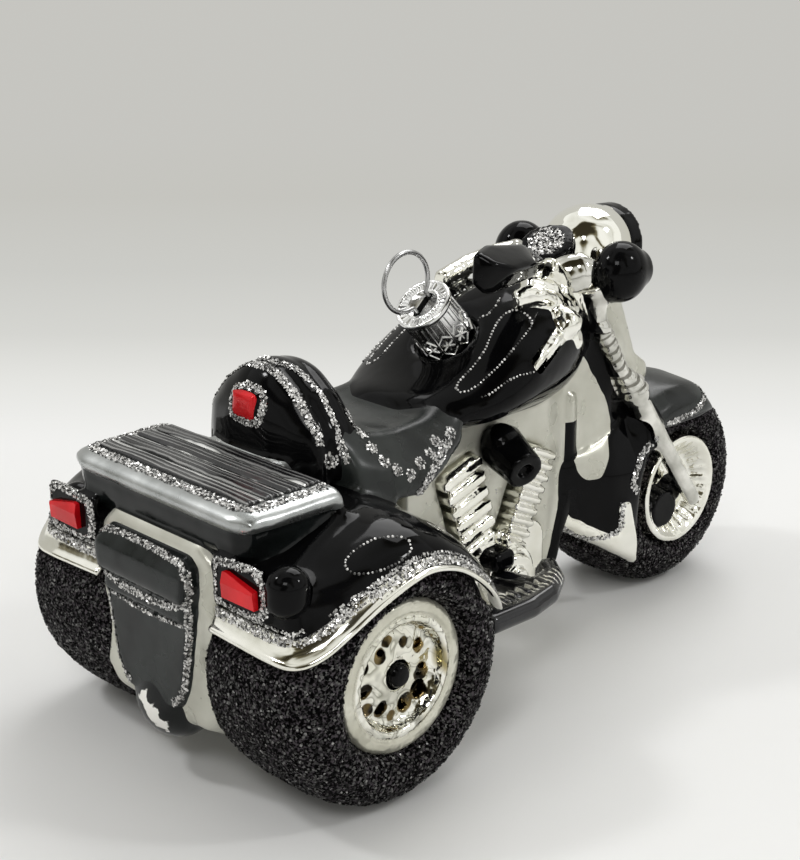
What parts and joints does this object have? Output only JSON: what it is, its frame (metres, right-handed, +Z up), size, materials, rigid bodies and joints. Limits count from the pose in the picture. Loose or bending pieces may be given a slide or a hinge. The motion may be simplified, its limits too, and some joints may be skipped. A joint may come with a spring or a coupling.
{
  "type": "blown glass motor trike ornament",
  "caption": "Hanging blown glass ornament shaped as a three-wheeled cruiser motorcycle with a trunk, saddle, V engine, metal cap and wire hanger loop.",
  "frame": {"origin": "middle of the bounding box in plan, at the surface that the tyres stand on", "axes": "+X towards the front wheel, +Y to the left, +Z up"},
  "size_m": [0.1296, 0.0692, 0.0709],
  "materials": {
    "cap_metal": "bright stamped sheet metal",
    "clear_neck": "bare silvered glass",
    "glitter_black": "blown glass coated in coarse black glitter",
    "gloss_black": "gloss black enamel on blown glass",
    "lamp_red": "red lacquer on silvered glass",
    "mirror_silver": "silvered blown glass",
    "pearl": "pearl cream lacquer on silvered glass",
    "satin_charcoal": "satin charcoal enamel on blown glass",
    "satin_silver": "satin silver lacquer on silvered glass",
    "wire": "drawn spring wire"
  },
  "bodies": {
    "ornament": {"air_cleaner": "gloss_black", "backrest": "satin_charcoal", "backrest_lamp": "lamp_red", "bar_left": "mirror_silver", "bar_right": "gloss_black", "cable_bundle": "mirror_silver", "crankcase": "mirror_silver", "cylinder_front": "mirror_silver", "cylinder_rear": "mirror_silver", "down_tubes": "gloss_black", "fender_lip_left": "mirror_silver", "fender_lip_right": "mirror_silver", "footboard_left": "satin_charcoal", "footboard_right": "satin_charcoal", "fork_leg_left": "mirror_silver", "fork_leg_right": "mirror_silver", "frame_core": "pearl", "front_fender": "gloss_black", "front_hub_left": "gloss_black", "front_hub_right": "gloss_black", "front_tyre": "glitter_black", "front_web": "pearl", "front_wheel_face_left": "mirror_silver", "front_wheel_face_right": "mirror_silver", "glass_neck": "clear_neck", "grip_left": "mirror_silver", "grip_right": "gloss_black", "headlamp_lens": "mirror_silver", "headlamp_nacelle": "mirror_silver", "headlamp_rim": "gloss_black", "instrument": "gloss_black", "marker_lamp_left": "gloss_black", "marker_lamp_right": "gloss_black", "passing_lamp_left": "gloss_black", "passing_lamp_right": "gloss_black", "plate_panel": "satin_charcoal", "rear_body": "pearl", "rear_fender_left": "gloss_black", "rear_fender_right": "gloss_black", "rear_hub_left": "gloss_black", "rear_hub_right": "gloss_black", "rear_tyre_left": "glitter_black", "rear_tyre_right": "glitter_black", "rear_wheel_left": "mirror_silver", "rear_wheel_right": "mirror_silver", "seat": "satin_charcoal", "skirt_trims": "mirror_silver", "starter_covers": "gloss_black", "steering_head": "mirror_silver", "tail_lamp_left": "gloss_black", "tail_lamp_right": "gloss_black", "tail_lens_left": "lamp_red", "tail_lens_right": "lamp_red", "tail_tip": "satin_charcoal", "tank": "gloss_black", "trunk_box": "satin_charcoal", "trunk_lid": "satin_charcoal", "trunk_rim": "satin_silver"},
    "cap_body": {"cap": "cap_metal"},
    "loop_body": {"hanger_loop": "wire"}
  },
  "joints": [
    {"name": "cap_pull", "type": "slide", "parent": "ornament", "child": "cap_body", "axis": [-0.6613, 0, 0.7501], "range_m": [0, 0.018]},
    {"name": "loop_tip", "type": "hinge", "parent": "cap_body", "child": "loop_body", "pos_m": [-0.00833, 0, 0.0608], "axis": [0.7501, 0, 0.6613], "range_deg": [-12, 12]}
  ]
}
